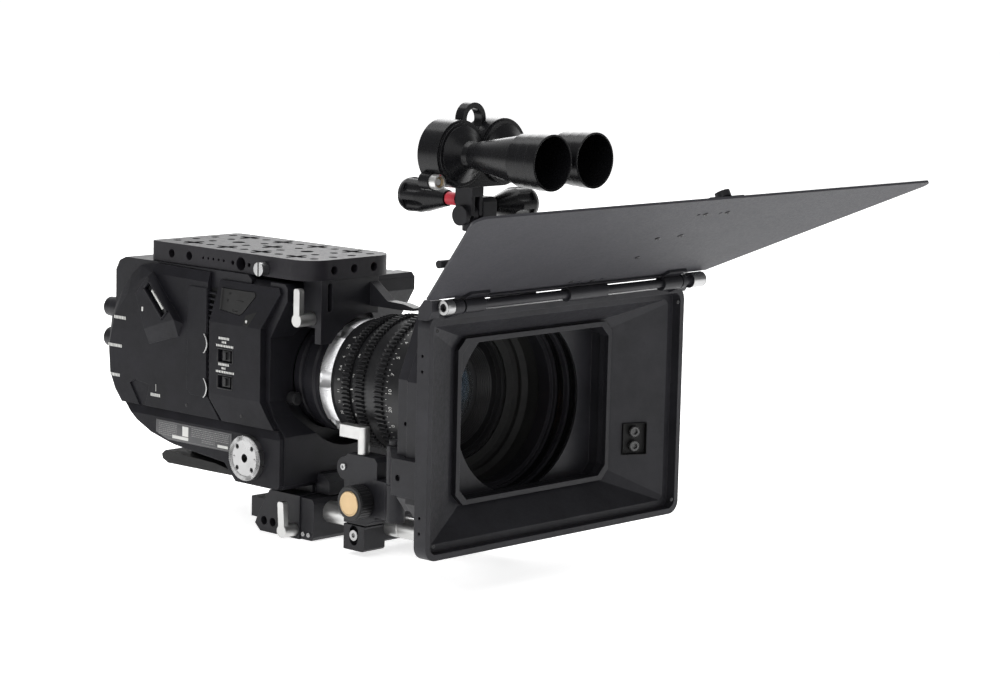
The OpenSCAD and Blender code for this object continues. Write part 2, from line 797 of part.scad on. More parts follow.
module height_knob() {
    color(black) difference() {
        union() {
            rod_along_x(-70.5, upright_x[0] - 0.3, knob_y, knob_z, knob_r - 0.8);
            rod_along_x(-69.8, upright_x[0] - 1.8, knob_y, knob_z, knob_r);
            rod_along_x(-59, -55.4, knob_y, knob_z, 2.5);
        }
        for (a = [0 : 12 : 348])
            rod_along_x(-72, -56, knob_y + (knob_r + 0.35) * cos(a), knob_z + (knob_r + 0.35) * sin(a), 0.7);
    }
}

module hinge_lever() {
    color(silver) {
        rod_along_z(71.3, 90, post_x, post_y, 4);
        rod_along_z(65, 72, post_x, post_y, 2.5);
        along_z(81.5, 90) {
            translate([post_x - 3.8, post_y]) square([7.6, 17]);
            translate([0, 3]) rrect(post_x - 3.8, post_x + 3.8, post_y, post_y + 18, 2);
        }
    }
}

// ---- matte box

// Outline of the filter stage, square at the bottom and cut back at the top
module stage_outline(half_w, z0, z1) {
    polygon([[-half_w, z0 + 10], [-half_w + 8, z0], [half_w - 8, z0], [half_w, z0 + 10],
        [half_w, 133], [half_w - 18, z1], [18 - half_w, z1], [-half_w, 133]]);
}

module gate_outline(extra) {
    chamfered(-gate_w / 2 - extra, gate_w / 2 + extra, gate_zc - gate_h / 2 - extra,
        gate_zc + gate_h / 2 + extra, 7, 7);
}

module stage_frame() {
    color(charcoal) difference() {
        union() {
            along_y(stage_y[0], stage_split_y) stage_outline(84, 42, stage_top);
            along_y(stage_split_y - 1, stage_y[1]) stage_outline(80, 44, stage_top - 0.5);
        }
        along_y(-190, -178) gate_outline(1);
        rod_along_y(-179, -155, 0, axis_z, tunnel_r);
        rod_along_y(-156, -140, 0, axis_z, 57);
        // slots that the two filter trays slide into from the far side
        for (y = tray_ys)
            box(-tray_half_w - 0.5, 90, y - 0.4, y + tray_t + 0.4, tray_z[0] - 0.4, tray_z[1] + 0.4);
        for (s = [-1, 1])
            rod_along_x(s * 80 - 4, s * 80 + 4, -151.5, 104, 1.4);
    }
}

// One filter tray whose near face is at y; its pull tab stands out of the far side
module tray(y) {
    difference() {
        union() {
            along_y(y, y + tray_t)
                polygon([[-tray_half_w, tray_z[0]], [tray_half_w, tray_z[0]], [tray_half_w, 133],
                    [tray_half_w - 14, tray_z[1]], [14 - tray_half_w, tray_z[1]], [-tray_half_w, 133]]);
            box(tray_half_w - 1, tray_half_w + 12, y + 2, y + tray_t - 2, 80, 112);
        }
        rod_along_y(y - 1, y + tray_t + 1, 0, axis_z, tunnel_r);
        // ledge that a round filter drops against
        rod_along_y(y + 2, y + tray_t + 1, 0, axis_z, tunnel_r + 1.4);
    }
}

module filter_tray_front() {
    color(graphite) tray(tray_ys[0]);
}

module filter_tray_rear() {
    color(graphite) tray(tray_ys[1]);
}

module donut_ring() {
    color(rubber) turned_y(0, axis_z)
        polygon([[57.5, stage_y[1] + 0.05], [63, stage_y[1] + 0.05], [63, -140], [60, -136.5],
            [60, -133.5], [57, -130], [57, -127], [54, -122.6], [46.5, -122.6], [46.5, -124], [52, -125],
            [54, -128], [54, -131],
            [57, -134.5], [57, -137.5]]);
}

module swing_arm() {
    color(charcoal) difference() {
        union() {
            rod_along_z(56.9, 83, pin_x, pin_y, knuckle_r);
            along_z(58, 82.5)
                polygon([[pin_x - 4, pin_y - 4], [pin_x + 4, pin_y - 4], [-80.05, -144], [-80.05, -150],
                    [-84.05, -156.4], [-84.05, -184], [-91, -184], [-91, -150], [-64, pin_y]]);
        }
        rod_along_z(56, 84, pin_x, pin_y, pin_r + 0.05);
        rod_along_x(-92, -88, -156, 70, 2.2);
    }
}

// Slab with cut corners standing at one distance, used to sweep the hood's funnel
module hood_slab(y, half_w, half_h, cut) {
    along_y(y, y + 0.1)
        chamfered(-half_w, half_w, hood_zc - half_h, hood_zc + half_h, cut, cut);
}

module hood() {
    rim_half_w = hood_w / 2;
    rim_half_h = hood_h / 2;
    color(charcoal) difference() {
        union() {
            along_y(-hood_front, -hood_front + 10.5)
                rrect(-rim_half_w, rim_half_w, hood_z0, hood_z0 + hood_h, 9);
            hull() {
                hood_slab(-hood_front + 10.4, rim_half_w - 3, rim_half_h - 3, 8);
                hood_slab(hood_back - 0.1, 86, 60, 12);
            }
            // lugs that carry the flag's rod, and the corner ears behind its ends
            for (s = [-1, 1]) {
                along_x(s * 109.5 - 2, s * 109.5 + 2) {
                    polygon([[-hood_front + 1, 183], [-hood_front + 9, 183], [-hood_front + 8, 188],
                        [flag_pivot_y + 2, flag_pivot_z + 4.2], [flag_pivot_y - 2, flag_pivot_z - 4.2]]);
                    translate([flag_pivot_y, flag_pivot_z]) circle(4.7);
                }
                along_x(s * 122 - 4.5, s * 122 + 4.5)
                    polygon([[-hood_front + 1, 183], [-hood_front + 9, 183], [-hood_front + 9, 190],
                        [-hood_front + 4, 196], [-219, 196], [-219, 189]]);
            }
        }
        // step inside the rim
        along_y(-hood_front - 1, -hood_front + 7)
            rrect(-rim_half_w + 4, rim_half_w - 4, hood_z0 + 4, hood_z0 + hood_h - 4, 6);
        // funnel
        hull() {
            hood_slab(-hood_front + 6.9, rim_half_w - 9, rim_half_h - 9, 3);
            along_y(hood_back - 4.2, hood_back - 4.1) gate_outline(4);
        }
        along_y(-200, -180) gate_outline(0.2);
        // recess with two screws in the far cheek
        translate([95.5, -199.4, 81]) rotate([0, 0, -25.3]) box(-9, 9, -6, 2.6, -11, 11);
        // pairs of small holes round the rim
        for (s = [-1, 1], z = [46, 56, 150, 160])
            rod_along_x(s * rim_half_w - 3.5, s * rim_half_w + 3.5, -hood_front + 6, z, 1.1);
        rod_along_x(-130, 130, flag_pivot_y, flag_pivot_z, 3.02);
    }
}

module inner_frame() {
    color(charcoal) difference() {
        along_y(hood_back - 8, hood_back - 4.3) gate_outline(3.4);
        along_y(hood_back - 10, hood_back) gate_outline(0);
    }
}

module hinge_rod() {
    color(graphite) {
        rod_along_x(-116, 118, flag_pivot_y, flag_pivot_z, 3);
        rod_along_x(-115.9, -112, flag_pivot_y, flag_pivot_z, 5.2);
    }
    color(silver) {
        difference() {
            rod_along_x(-122.5, -115.8, flag_pivot_y, flag_pivot_z, 4.8);
            rod_along_x(-124, -119, flag_pivot_y, flag_pivot_z, 2.4, $fn = 6);
        }
        rod_along_x(117.9, 131, flag_pivot_y, flag_pivot_z, 5.2);
    }
}

module rf_post() {
    color(black) {
        box(rf_mast_x - 12, rf_mast_x + 12, -170, -146, stage_top + eps, 183);
        box(rf_mast_x - 8, rf_mast_x + 8, -170, -112, 183, 190);
        rod_along_z(189.9, 222.6, rf_mast_x, rf_mast_y, 6.5);
    }
    color(silver) rod_along_x(rf_mast_x - 35, rf_mast_x - 6, rf_mast_y, 202, 2.8);
}

// ---- top flag

// Sheet drawn in its own plane: the hinge edge along x at v = 0, the front edge at v = flag_l
module flag_outline() {
    r = 6;
    rear = flag_rear_w / 2;
    front = flag_front_w / 2;
    // the hinge edge reaches over the rod between the hood's lugs
    hinge_half = 106;
    corner = atan2(flag_l, front - rear);
    t = r / tan(corner / 2);
    tip = [for (i = [0 : 8]) let (a = corner - 90 + i * (180 - corner) / 8)
        [front - t + r * cos(a), flag_l - r + r * sin(a)]];
    polygon(concat([[-rear, 0], [-hinge_half, 0], [-hinge_half, -7], [hinge_half, -7], [hinge_half, 0],
        [rear, 0]], tip, [for (i = [8 : -1 : 0]) [-tip[i][0], tip[i][1]]]));
}

module on_flag() {
    translate([0, flag_pivot_y, flag_pivot_z]) rotate([180 - flag_tilt, 0, 0])
        translate([0, 2, -5.2]) mirror([0, 0, 1]) children();
}

module flag_sheet() {
    color(charcoal) on_flag() difference() {
        linear_extrude(flag_t) flag_outline();
        // notch for the middle hinge block
        translate([-6.1, -8, -1]) cube([34.2, 8, 5]);
        for (v = [6, 79, 117])
            for (x = [0, 22])
                translate([x, v, -1]) cylinder(h = 5, r = 1.3);
    }
}

module flag_hinge() {
    color(black) {
        difference() {
            union() {
                for (s = [-1, 1]) {
                    rod_along_x(s * 97 - 9, s * 97 + 9, flag_pivot_y, flag_pivot_z, 4.9);
                    on_flag() translate([s * 97 - 9, -2, -2]) cube([18, 11, 1.95]);
                }
                rod_along_x(-8, 30, flag_pivot_y, flag_pivot_z, 4.9);
                on_flag() translate([-6, -4.4, -4]) cube([34, 4.3, flag_t + 7]);
            }
            rod_along_x(-130, 130, flag_pivot_y, flag_pivot_z, 3.06);
        }
        // spine and end knob on the flag's upper side
        on_flag() {
            translate([-6, -0.2, flag_t + eps]) cube([34, flag_l - 7, 3]);
            translate([11, flag_l - 10, flag_t + 3]) cylinder(h = 4, r = 5);
        }
    }
}

// ---- rangefinder

module rf_foot() {
    color(black) difference() {
        union() {
            rod_along_z(222.9, 229, rf_mast_x, rf_mast_y, 9);
            along_x(rf_mast_x - 8.5, rf_mast_x - 4.5)
                chamfered(rf_mast_y - 7, rf_mast_y + 7, 228.9, 241, 4, 4);
            along_x(rf_mast_x - 0.6, rf_mast_x + 12.5)
                chamfered(rf_mast_y - 8, rf_mast_y + 8, 228.9, 246, 3, 3);
        }
        // bores of the tilt pin and of the far knob
        rod_along_x(0, rf_mast_x + 6, rf_mast_y, tilt_z, 2.56);
        rod_along_x(rf_mast_x + 7, 60, rf_mast_y, knob_right_z, 2.56);
    }
}

module rf_bracket() {
    color(black) difference() {
        union() {
            // fork that straddles the foot's inner ear
            for (x = [-12, -4.2])
                along_x(rf_mast_x + x, rf_mast_x + x + 3.2) {
                    translate([rf_mast_y, tilt_z]) circle(4.1);
                    translate([rf_mast_y - 7.5, tilt_z]) square([15, 15]);
                }
            box(rf_mast_x - 12, rf_mast_x - 1, rf_mast_y - 8, rf_mast_y + 8, 247, horn_z - housing_r - 0.1);
            box(rf_mast_x - 12, rf_mast_x - 1, rf_mast_y + 2.5, rf_mast_y + 8, 241.6, 247.1);
            // tilt pin with its round head
            rod_along_x(rf_mast_x - 16, rf_mast_x - 12, rf_mast_y, tilt_z, 6.9);
            rod_along_x(rf_mast_x - 12.1, rf_mast_x + 5, rf_mast_y, tilt_z, 2.5);
        }
        rod_along_y(rf_mast_y + 3, rf_mast_y + 9, rf_mast_x - 8, knob_left_z, 2.56);
    }
}

module rf_housing() {
    color(black) difference() {
        union() {
            for (s = [-1, 1]) {
                rod_along_y(housing_y[0], housing_y[1], rf_x + s * horn_gap / 2, horn_z, housing_r);
                rod_along_y(housing_y[0] - 2, housing_y[0], rf_x + s * horn_gap / 2, horn_z, housing_r - 1.6);
            }
            box(rf_x - horn_gap / 2, rf_x + horn_gap / 2, housing_y[0], housing_y[1], horn_z - housing_r, horn_z + 6);
            // boss round the connector
            rod_along_y(-121, -112, connector_x, connector_z, 6);
        }
        rod_along_y(-122, -113.9, connector_x, connector_z, 5.05);
        rod_along_y(-131, -121.05, connector_x, connector_z, 5.6);
        // hollow for the transducers and their board
        for (s = [-1, 1])
            rod_along_y(housing_y[0] + 2, housing_y[1] - 2, rf_x + s * horn_gap / 2, horn_z, housing_r - 4);
    }
}

module rf_horns() {
    mouth = housing_y[0] - 2.1 - horn_l;
    color(black) for (s = [-1, 1])
        turned_y(rf_x + s * horn_gap / 2, horn_z)
            polygon([[6.5, housing_y[0] - 2.1], [19.5, housing_y[0] - 2.1], [15, housing_y[0] - 5],
                [9.5, housing_y[0] - 9], [8.8, housing_y[0] - 13], [16.8, mouth + 26],
                [17.6, mouth + 26], [17.6, mouth + 17], [18.2, mouth + 16.5], [18.2, mouth + 9],
                [horn_r, mouth + 8.5], [horn_r, mouth], [horn_r - 1.2, mouth], [horn_r - 1.6, mouth + 8],
                [15.2, mouth + 24], [6.5, housing_y[0] - 16]]);
}

module rf_loop() {
    color(black) difference() {
        union() {
            rod_along_y(-119.5, -112, rf_x, 299, 11.2);
            box(rf_x - 10, rf_x + 10, -119.5, -112, 283, 296);
        }
        rod_along_y(-121, -111, rf_x, 299, 7.5);
        for (s = [-1, 1])
            rod_along_y(-130, -100, rf_x + s * horn_gap / 2, horn_z, housing_r + 0.1);
        box(rf_x - 11, rf_x + 11, -121, -111, 282, horn_z + 6.1);
    }
}

module rf_connector() {
    color(silver) difference() {
        union() {
            rod_along_y(-127, -114, connector_x, connector_z, 5);
            rod_along_y(-127, -121.2, connector_x, connector_z, 5.2);
        }
        rod_along_y(-128, -121, connector_x, connector_z, 4);
    }
    color(brass) rod_along_y(-125.5, -121.05, connector_x, connector_z, 2.2);
}

// Long tapered grip with flutes, pointing along X from the end of its neck
module knob_grip(l, neck) {
    difference() {
        turned_x(0, 0)
            polygon([[0, neck], [5.6, neck], [11.8, l - 17], [12, l - 4], [11, l - 1], [9.5, l], [0, l]]);
        for (a = [0 : 60 : 300])
            rotate([a, 0, 0]) rod_along_x(l - 30, l - 6, 0, 15.6, 5.4);
    }
}

// Neck of a knob, with the stem that turns in its bore
module knob_neck(neck, stem) {
    rod_along_x(-stem, 0.1, 0, 0, 2.5);
    rod_along_x(0, neck + 0.1, 0, 0, 4.2);
}

module rf_knob_left() {
    translate([rf_mast_x - 8, rf_mast_y + 8.4, knob_left_z]) rotate([0, 0, 90]) {
        color(red) knob_neck(10, 5);
        color(black) knob_grip(49, 10);
    }
}

module rf_knob_right() {
    color(black) translate([rf_mast_x + 13, rf_mast_y, knob_right_z]) {
        knob_neck(4, 5);
        knob_grip(40, 4);
    }
}

front_casting();
body_shell();
audio_panel();
rear_cover();
lower_cover();
left_cover();
foot_pad();
rosette();
bnc_connectors();
mount_adapter();
sensor_module();
main_board();
fan_frame();
battery_pack();
top_plate();
riser_bracket();
base_block();
rod_block();
riser_plate();
rods();
lens_barrel();
lens_glass();
base_screws();
port_door();
input_switch_1();
input_switch_2();
release_button();
fan_rotor();
locking_ring();
iris_ring();
zoom_ring();
focus_ring();
plate_screw();
riser_lever();
base_lever();
rod_clamp();
clamp_screw();
upright_block();
hinge_pin();
height_knob();
hinge_lever();
stage_frame();
swing_arm();
donut_ring();
hood();
inner_frame();
hinge_rod();
rf_post();
filter_tray_front();
filter_tray_rear();
flag_hinge();
flag_sheet();
rf_foot();
rf_bracket();
rf_housing();
rf_horns();
rf_loop();
rf_connector();
rf_knob_left();
rf_knob_right();
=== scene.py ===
import math
import random

import bmesh
import bpy
from mathutils import Matrix, Vector


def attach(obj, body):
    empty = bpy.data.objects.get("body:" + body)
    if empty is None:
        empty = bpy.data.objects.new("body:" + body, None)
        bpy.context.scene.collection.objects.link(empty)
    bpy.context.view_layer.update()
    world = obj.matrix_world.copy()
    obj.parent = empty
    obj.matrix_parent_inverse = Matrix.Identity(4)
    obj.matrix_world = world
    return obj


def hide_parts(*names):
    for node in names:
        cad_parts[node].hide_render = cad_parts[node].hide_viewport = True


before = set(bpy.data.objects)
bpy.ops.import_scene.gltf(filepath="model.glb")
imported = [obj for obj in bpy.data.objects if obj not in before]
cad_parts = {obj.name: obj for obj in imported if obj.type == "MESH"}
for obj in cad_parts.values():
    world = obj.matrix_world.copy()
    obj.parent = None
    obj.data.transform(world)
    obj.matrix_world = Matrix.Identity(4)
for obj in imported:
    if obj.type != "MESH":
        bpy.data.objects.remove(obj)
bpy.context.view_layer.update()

MM = 0.001
random.seed(7)

# ---------------------------------------------------------------- measures repeated from the CAD, mm
AXIS_Z = 112.5
PANEL_X = -66.0          # outer face of the near side's covers
AUDIO_X = -67.6          # upright face of the audio panel, which leans inward above
LEAN = math.atan(4 / 30)
DOOR = (-67.6 + 4 * 17 / 30, 0.0, 165.0)
FLAG_PIVOT = (-225.0, 192.0)
FLAG_TILT = math.radians(27.9)
FLAG_LIFT = 5.2
FLAG_SETBACK = 2.0
FLAG_T = 1.6
RF_X, RF_HORN_Z, RF_GAP = 12.9, 276.5, 41.6   # middle of the horns, their height and spacing
RF_SCREWS_R = 15.4       # bolt circle round each horn
SWITCHES_Y, SWITCHES_Z = 40.5, (125, 106.5)


# ---------------------------------------------------------------- materials

def new_material(name):
    m = bpy.data.materials.new(name)
    m.use_nodes = True
    t = m.node_tree
    return m, t, t.nodes["Principled BSDF"]


def noise(t, coords, scale, detail=4.0, rough=0.6):
    n = t.nodes.new("ShaderNodeTexNoise")
    n.inputs["Scale"].default_value = scale
    n.inputs["Detail"].default_value = detail
    n.inputs["Roughness"].default_value = rough
    t.links.new(coords, n.inputs["Vector"])
    return n.outputs["Fac"]


def remap(t, value, lo, hi, to_lo, to_hi):
    n = t.nodes.new("ShaderNodeMapRange")
    for key, v in (("From Min", lo), ("From Max", hi), ("To Min", to_lo), ("To Max", to_hi)):
        n.inputs[key].default_value = v
    t.links.new(value, n.inputs["Value"])
    return n.outputs["Result"]


def blend_colour(t, fac, a, b):
    n = t.nodes.new("ShaderNodeMix")
    n.data_type = "RGBA"
    t.links.new(fac, n.inputs["Factor"])
    for key, c in (("A", a), ("B", b)):
        sock = [s for s in n.inputs if s.name == key and s.type == "RGBA"][0]
        if isinstance(c, tuple):
            sock.default_value = (*c, 1)
        else:
            t.links.new(c, sock)
    return [s for s in n.outputs if s.type == "RGBA"][0]


def finish_material(name, colour, rough, metal=0.0, grain=2200.0, grain_bump=0.12, spread=0.06,
                    tint=0.25, edge=0.35, edge_colour=None, stretch=(1, 1, 1), radius=0.0005, coat=0.0,
                    spec=0.3):
    """A machined or moulded surface: fine grain, patches of polish, and a softened edge painted lighter,
    partly rubbed finish and partly a painted highlight.
    """
    m, t, p = new_material(name)
    geo = t.nodes.new("ShaderNodeTexCoord").outputs["Object"]
    mapping = t.nodes.new("ShaderNodeMapping")
    mapping.inputs["Scale"].default_value = stretch
    t.links.new(geo, mapping.inputs["Vector"])
    coords = mapping.outputs["Vector"]
    fine = noise(t, coords, grain, 3.0)
    broad = noise(t, geo, 38.0, 5.0)
    dark = tuple(c * (1 - tint) for c in colour)
    light = tuple(min(1, c * (1 + tint)) for c in colour)
    base = blend_colour(t, remap(t, broad, 0.32, 0.68, 0, 1), dark, light)
    # rubbed edges with a painted edge highlight: a lighter colour from the difference between the softened
    # normal and the real one
    soft = t.nodes.new("ShaderNodeBevel")
    soft.samples = 4
    soft.inputs["Radius"].default_value = radius
    g = t.nodes.new("ShaderNodeNewGeometry")
    dot = t.nodes.new("ShaderNodeVectorMath")
    dot.operation = "DOT_PRODUCT"
    t.links.new(soft.outputs["Normal"], dot.inputs[0])
    t.links.new(g.outputs["Normal"], dot.inputs[1])
    patch = remap(t, noise(t, geo, 160.0, 4.0), 0.38, 0.62, 0.25, 1.0)
    edge_wear_and_highlight = t.nodes.new("ShaderNodeMath")
    edge_wear_and_highlight.operation = "MULTIPLY"
    t.links.new(remap(t, dot.outputs["Value"], 0.97, 0.78, 0.0, edge), edge_wear_and_highlight.inputs[0])
    t.links.new(patch, edge_wear_and_highlight.inputs[1])
    # lighter edge colour: rubbed finish plus a painted edge highlight
    worn_and_lit_edge_colour = edge_colour or tuple(min(1, c * 3 + 0.05) for c in colour)
    t.links.new(blend_colour(t, edge_wear_and_highlight.outputs["Value"], base, worn_and_lit_edge_colour), p.inputs["Base Color"])
    t.links.new(remap(t, noise(t, coords, grain * 0.12, 5.0), 0.3, 0.7, rough - spread, rough + spread),
                p.inputs["Roughness"])
    bump = t.nodes.new("ShaderNodeBump")
    bump.inputs["Strength"].default_value = grain_bump
    bump.inputs["Distance"].default_value = 0.0002
    t.links.new(fine, bump.inputs["Height"])
    t.links.new(soft.outputs["Normal"], bump.inputs["Normal"])
    t.links.new(bump.outputs["Normal"], p.inputs["Normal"])
    p.inputs["Metallic"].default_value = metal
    p.inputs["Coat Weight"].default_value = coat
    p.inputs["Specular IOR Level"].default_value = 0.5 if metal else spec
    return m


BODY = finish_material("body_paint", (0.010, 0.0098, 0.0122), 0.42, grain=2600, grain_bump=0.22, spec=0.18)
PANEL = finish_material("panel_paint", (0.009, 0.0088, 0.0112), 0.45, grain=2300, grain_bump=0.3, spec=0.13)
ANODISED = finish_material("black_anodised", (0.014, 0.0138, 0.0165), 0.40, grain=3200, grain_bump=0.12,
                           edge=0.5, spec=0.24)
PLATE = finish_material("plate_anodised", (0.014, 0.013, 0.016), 0.46, grain=3000, grain_bump=0.12, edge=0.6,
                        spec=0.2)
HOOD = finish_material("hood_anodised", (0.018, 0.0178, 0.021), 0.50, grain=2600, grain_bump=0.2, edge=0.25,
                       spec=0.25)
FLAG = finish_material("flag_sheet_black", (0.029, 0.0288, 0.034), 0.62, grain=3600, grain_bump=0.35,
                       spread=0.05, tint=0.1, edge=0.2)
LENS = finish_material("lens_anodised", (0.011, 0.011, 0.012), 0.34, grain=3000, grain_bump=0.08,
                       edge=0.35, radius=0.0003)
PLASTIC = finish_material("black_plastic", (0.013, 0.013, 0.014), 0.36, grain=2400, grain_bump=0.1)
HORN = finish_material("horn_black", (0.007, 0.007, 0.008), 0.27, grain=3000, grain_bump=0.03, edge=0.3,
                       spread=0.02, spec=0.25)
RUBBER = finish_material("black_rubber", (0.014, 0.014, 0.014), 0.62, grain=1500, grain_bump=0.3, edge=0.1)
SATIN = finish_material("satin_silver", (0.60, 0.60, 0.59), 0.40, metal=1.0, grain=1500, grain_bump=0.12,
                        tint=0.06, edge=0.3, edge_colour=(0.85, 0.85, 0.85))
SILVER = finish_material("brushed_silver", (0.42, 0.42, 0.42), 0.30, metal=1.0, grain=900, grain_bump=0.05,
                         tint=0.08, edge=0.3, edge_colour=(0.9, 0.9, 0.9), stretch=(0.15, 1, 1))
ROD = finish_material("rod_steel", (0.70, 0.70, 0.69), 0.36, metal=1.0, grain=900, grain_bump=0.04,
                      tint=0.06, edge=0.2, edge_colour=(0.9, 0.9, 0.9), stretch=(1, 0.08, 1))
RING = finish_material("ring_satin", (0.86, 0.86, 0.87), 0.46, metal=1.0, grain=1000, grain_bump=0.04,
                       tint=0.06, edge=0.3, edge_colour=(0.95, 0.95, 0.95))
BRASS = finish_material("brass", (0.52, 0.38, 0.22), 0.36, metal=1.0, grain=1400, grain_bump=0.06, tint=0.1,
                        edge=0.3, edge_colour=(0.9, 0.75, 0.5))
BOARD = finish_material("board_green", (0.02, 0.09, 0.05), 0.4, grain=900)
CELL = finish_material("cell_wrap", (0.05, 0.05, 0.06), 0.45)
SATIN_BLACK = finish_material("screw_black", (0.03, 0.03, 0.03), 0.25, grain=2600, edge=0.6, spec=0.6)
GLOSS = finish_material("tray_black", (0.004, 0.004, 0.0045), 0.18, grain=2600, grain_bump=0.02, edge=0.2,
                        spread=0.04, spec=0.3)
RED = finish_material("red_anodised", (0.60, 0.05, 0.07), 0.4, grain=500, grain_bump=0.3)
WHITE = finish_material("marking_white", (0.62, 0.62, 0.60), 0.55, grain=3000, tint=0.05, edge=0.0)
GREY = finish_material("marking_grey", (0.22, 0.22, 0.22), 0.55, grain=3000, tint=0.05, edge=0.0)
GREY_LABEL = finish_material("label_plate", (0.075, 0.075, 0.078), 0.5, grain=3000, edge=0.0)
# near-black: painted shade inside the vent slot, socket and cheek recess, and the colour of some small black
# parts
DEEP = finish_material("deep_black", (0.004, 0.004, 0.004), 0.55, grain=2000, edge=0.0)


def glass_material(name, colour, rough=0.02, weight=0.9, film=380.0):
    m, t, p = new_material(name)
    coords = t.nodes.new("ShaderNodeTexCoord").outputs["Object"]
    dust = remap(t, noise(t, coords, 900.0, 6.0), 0.45, 0.75, rough, rough + 0.06)
    t.links.new(dust, p.inputs["Roughness"])
    p.inputs["Base Color"].default_value = (*colour, 1)
    p.inputs["Transmission Weight"].default_value = weight
    p.inputs["IOR"].default_value = 1.55
    p.inputs["Thin Film Thickness"].default_value = film
    return m


GLASS = glass_material("coated_glass", (0.30, 0.32, 0.36), film=300.0)

SKINS = {
    BODY: ["front_casting", "body_shell", "mount_adapter"],
    PANEL: ["audio_panel", "rear_cover", "lower_cover", "left_cover"],
    RUBBER: ["foot_pad", "port_door", "donut_ring"],
    SILVER: ["rosette", "base_screws", "plate_screw", "clamp_screw"],
    SATIN: ["riser_lever", "base_lever", "hinge_lever"],
    ROD: ["rods"],
    RING: ["locking_ring"],
    PLATE: ["top_plate"],
    ANODISED: ["riser_bracket", "base_block", "rod_block", "riser_plate", "rod_clamp", "upright_block",
               "hinge_pin", "stage_frame", "swing_arm", "inner_frame", "rf_post", "flag_hinge", "rf_foot",
               "rf_bracket", "bnc_connectors", "hinge_rod"],
    HOOD: ["hood"],
    FLAG: ["flag_sheet"],
    LENS: ["lens_barrel", "iris_ring", "zoom_ring", "focus_ring"],
    GLASS: ["lens_glass"],
    PLASTIC: ["input_switch_1", "input_switch_2", "release_button", "fan_frame", "fan_rotor", "height_knob"],
    GLOSS: ["filter_tray_front", "filter_tray_rear"],
    HORN: ["rf_housing", "rf_loop", "rf_horns", "rf_knob_left", "rf_knob_right"],
    BOARD: ["sensor_module", "main_board"],
    CELL: ["battery_pack"],
}


def paint(node, material):
    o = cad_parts[node]
    if not o.data.materials:
        o.data.materials.append(material)
    for i in range(len(o.data.materials)):
        o.data.materials[i] = material


for skin, nodes in SKINS.items():
    for n in nodes:
        paint(n, skin)

# ---------------------------------------------------------------- camera

AZ, EL, ROLL = math.radians(-47.06), math.radians(8.14), math.radians(1.37)
back = Vector((math.sin(AZ) * math.cos(EL), -math.cos(AZ) * math.cos(EL), math.sin(EL)))
right = (-back).cross(Vector((0, 0, 1))).normalized()
up = right.cross(-back)
cam_x = right * math.cos(ROLL) + up * math.sin(ROLL)
cam_y = up * math.cos(ROLL) - right * math.sin(ROLL)
camera_data = bpy.data.cameras.new("camera")
camera_data.sensor_width = 36.0
camera_data.lens = 105.21
camera_data.clip_start, camera_data.clip_end = 0.05, 30.0
camera = bpy.data.objects.new("camera", camera_data)
turn = Matrix((cam_x, cam_y, back)).transposed().to_4x4()
camera.matrix_world = Matrix.Translation(Vector((-1.4224, -1.4836, 0.4308))) @ turn
bpy.context.scene.collection.objects.link(camera)
bpy.context.scene.camera = camera

# ---------------------------------------------------------------- floor and light

bpy.ops.mesh.primitive_plane_add(size=16.0, location=(0, 0, 0))
floor = bpy.context.object
floor.name = "floor"
floor_mat, ft, fp = new_material("floor_white")
fp.inputs["Base Color"].default_value = (0.93, 0.93, 0.93, 1)
fp.inputs["Roughness"].default_value = 0.9
fp.inputs["Specular IOR Level"].default_value = 0.0
fp.inputs["Emission Color"].default_value = (1, 1, 1, 1)
fp.inputs["Emission Strength"].default_value = 0.72
floor.data.materials.append(floor_mat)


def area_light(name, at, towards, size, power):
    data = bpy.data.lights.new(name, "AREA")
    data.shape = "RECTANGLE"
    data.size, data.size_y = size
    data.energy = power
    o = bpy.data.objects.new(name, data)
    o.location = at
    o.rotation_mode = "QUATERNION"
    o.rotation_quaternion = (Vector(towards) - Vector(at)).to_track_quat("-Z", "Y")
    bpy.context.scene.collection.objects.link(o)
    return o


area_light("key", (-1.9, -0.6, 1.7), (0, 0, 0.1), (1.6, 1.2), 19)
area_light("fill", (-0.4, -2.6, 1.1), (0, 0, 0.1), (2.0, 1.6), 10)
area_light("top", (0.2, 0.3, 2.4), (0, 0, 0), (2.4, 2.4), 46)
area_light("rim", (1.8, 1.4, 1.4), (0, 0, 0.1), (1.2, 1.6), 16)
world = bpy.data.worlds.new("studio")
world.use_nodes = True
wt = world.node_tree
# a white backdrop on the far side and a dimmer room everywhere else
direction = wt.nodes.new("ShaderNodeTexCoord").outputs["Generated"]
facing = wt.nodes.new("ShaderNodeVectorMath")
facing.operation = "DOT_PRODUCT"
facing.inputs[1].default_value = (0.732, 0.681, 0.0)
wt.links.new(direction, facing.inputs[0])
wt.links.new(remap(wt, facing.outputs["Value"], 0.45, 0.8, 0.22, 1.06),
             wt.nodes["Background"].inputs["Strength"])
wt.nodes["Background"].inputs["Color"].default_value = (1, 1, 1, 1)
bpy.context.scene.world = world
bpy.context.scene.view_settings.view_transform = "Standard"

# ---------------------------------------------------------------- pieces

TIP = 0.02               # radius at which a turned shape that reaches its axis is closed


